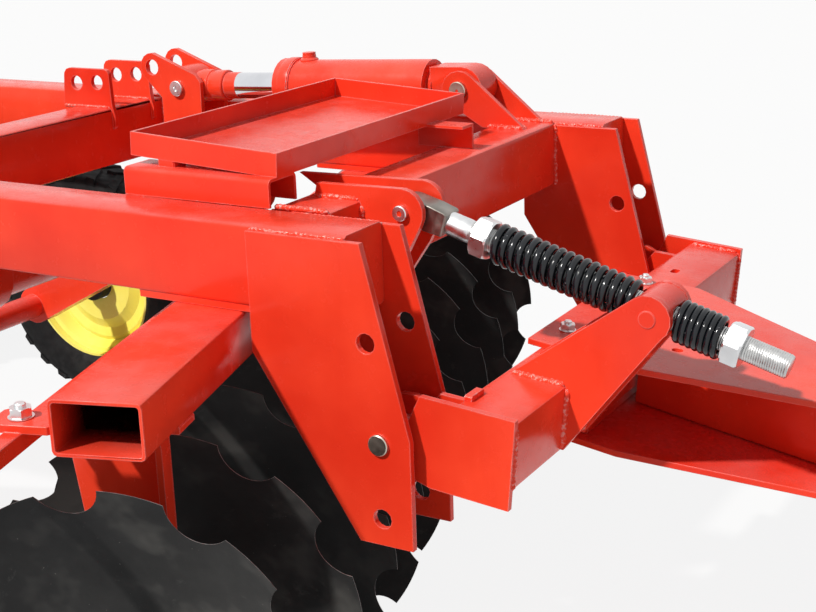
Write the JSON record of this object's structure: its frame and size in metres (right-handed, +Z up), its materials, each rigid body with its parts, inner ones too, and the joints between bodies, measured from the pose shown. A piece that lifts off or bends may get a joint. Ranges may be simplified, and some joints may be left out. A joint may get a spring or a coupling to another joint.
{
  "type": "trailed offset disc harrow",
  "caption": "Trailed offset disc harrow: ladder frame on two wheels, two angled gangs of notched discs, sprung levelling rod, lift cylinder and hinged drawbar.",
  "frame": {"origin": "on the ground below the middle of the whole machine's box", "axes": "+X forward to the hitch, +Y to the machine's left, +Z up"},
  "size_m": [6.2562, 2.6624, 1.1598],
  "materials": {
    "red_paint": "gloss paint",
    "disc_steel": "satin black",
    "black_gloss": "gloss black",
    "zinc_steel": "zinc plated",
    "chrome": "polished",
    "yellow_paint": "gloss paint",
    "tyre_rubber": "matte"
  },
  "bodies": {
    "frame": {"front_crossbeam": "red_paint", "front_gang_beam": "red_paint", "front_hanger_1": "red_paint", "front_hanger_2": "red_paint", "front_hanger_3": "red_paint", "front_scraper_bar": "red_paint", "left_beam": "red_paint", "left_inner_clevis_plate": "red_paint", "left_outer_clevis_plate": "red_paint", "middle_crossbeam": "red_paint", "rear_crossbeam": "red_paint", "rear_gang_beam": "red_paint", "rear_hanger_1": "red_paint", "rear_hanger_2": "red_paint", "rear_hanger_3": "red_paint", "rear_scraper_bar": "red_paint", "right_beam": "red_paint", "right_inner_clevis_plate": "red_paint", "right_outer_clevis_plate": "red_paint", "tray": "red_paint"},
    "drawbar": {"cross_tube": "red_paint", "tongue_upper_plate": "red_paint", "tongue_lower_plate": "red_paint", "tongue_tube": "red_paint", "jack_sleeve": "red_paint"},
    "levelling_rod": {"levelling_rod": "zinc_steel", "long_spring": "black_gloss", "short_spring": "black_gloss"},
    "rod_trunnion": {"rod_trunnion": "red_paint"},
    "wheel_carrier": {"wheel_carrier": "red_paint"},
    "left_wheel": {"left_tyre": "tyre_rubber", "left_rim": "yellow_paint"},
    "right_wheel": {"right_tyre": "tyre_rubber", "right_rim": "yellow_paint"},
    "cylinder_barrel": {"cylinder_barrel": "red_paint"},
    "cylinder_rod": {"cylinder_rod": "chrome"},
    "jack_leg": {"jack_leg": "red_paint"},
    "front_gang": {"front_disc_1": "disc_steel", "front_disc_10": "disc_steel", "front_disc_2": "disc_steel", "front_disc_3": "disc_steel", "front_disc_4": "disc_steel", "front_disc_5": "disc_steel", "front_disc_6": "disc_steel", "front_disc_7": "disc_steel", "front_disc_8": "disc_steel", "front_disc_9": "disc_steel", "front_gang_axle": "disc_steel"},
    "rear_gang": {"rear_disc_1": "disc_steel", "rear_disc_10": "disc_steel", "rear_disc_2": "disc_steel", "rear_disc_3": "disc_steel", "rear_disc_4": "disc_steel", "rear_disc_5": "disc_steel", "rear_disc_6": "disc_steel", "rear_disc_7": "disc_steel", "rear_disc_8": "disc_steel", "rear_disc_9": "disc_steel", "rear_gang_axle": "disc_steel"}
  },
  "joints": [
    {"name": "drawbar_pitch", "type": "hinge", "parent": "frame", "child": "drawbar", "pos_m": [0.47544, 0.10294, 0.641], "axis": [0, 1, 0], "range_deg": [-5, 5], "deforming": ["long_spring", "short_spring"]},
    {"name": "levelling_rod_swing", "type": "hinge", "parent": "frame", "child": "levelling_rod", "pos_m": [0.38344, -0.23706, 0.993], "axis": [0, 1, 0], "range_deg": [-3.23, 3.23]},
    {"name": "trunnion_turn", "type": "hinge", "parent": "drawbar", "child": "rod_trunnion", "pos_m": [0.87244, -0.23706, 0.85], "axis": [0, 1, 0], "range_deg": [-1.87, 1.87]},
    {"name": "jack_slide", "type": "slide", "parent": "drawbar", "child": "jack_leg", "axis": [0, 0, 1], "range_m": [0, 0.3]},
    {"name": "wheel_lift", "type": "hinge", "parent": "frame", "child": "wheel_carrier", "pos_m": [-0.68456, 0.10294, 0.769], "axis": [0, 1, 0], "range_deg": [-12, 18]},
    {"name": "cylinder_swing", "type": "hinge", "parent": "frame", "child": "cylinder_barrel", "pos_m": [0.09544, 0.54694, 1.092], "axis": [0, 1, 0], "range_deg": [-0.46, 0.69]},
    {"name": "cylinder_stroke", "type": "slide", "parent": "cylinder_barrel", "child": "cylinder_rod", "axis": [-0.9991, 0, -0.0414], "range_m": [-0.0935, 0.0623]},
    {"name": "left_wheel_spin", "type": "hinge", "parent": "wheel_carrier", "child": "left_wheel", "pos_m": [-1.39456, 0.84094, 0.363], "axis": [0, 1, 0], "continuous": true},
    {"name": "right_wheel_spin", "type": "hinge", "parent": "wheel_carrier", "child": "right_wheel", "pos_m": [-1.39456, -0.63506, 0.363], "axis": [0, 1, 0], "continuous": true},
    {"name": "front_gang_spin", "type": "hinge", "parent": "frame", "child": "front_gang", "pos_m": [0.23084, -0.94506, 0.352], "axis": [-0.2907, 0.9568, 0], "continuous": true},
    {"name": "rear_gang_spin", "type": "hinge", "parent": "frame", "child": "rear_gang", "pos_m": [-2.81297, -0.94506, 0.352], "axis": [0.2907, 0.9568, 0], "continuous": true}
  ],
  "couplings": [
    {"joint": "levelling_rod_swing", "follows": "drawbar_pitch", "ratio": 0.63305},
    {"joint": "trunnion_turn", "follows": "drawbar_pitch", "ratio": -0.36695},
    {"joint": "cylinder_swing", "follows": "wheel_lift", "ratio": 0.037335},
    {"joint": "cylinder_stroke", "follows": "wheel_lift", "m_per_rad": -0.2918}
  ]
}
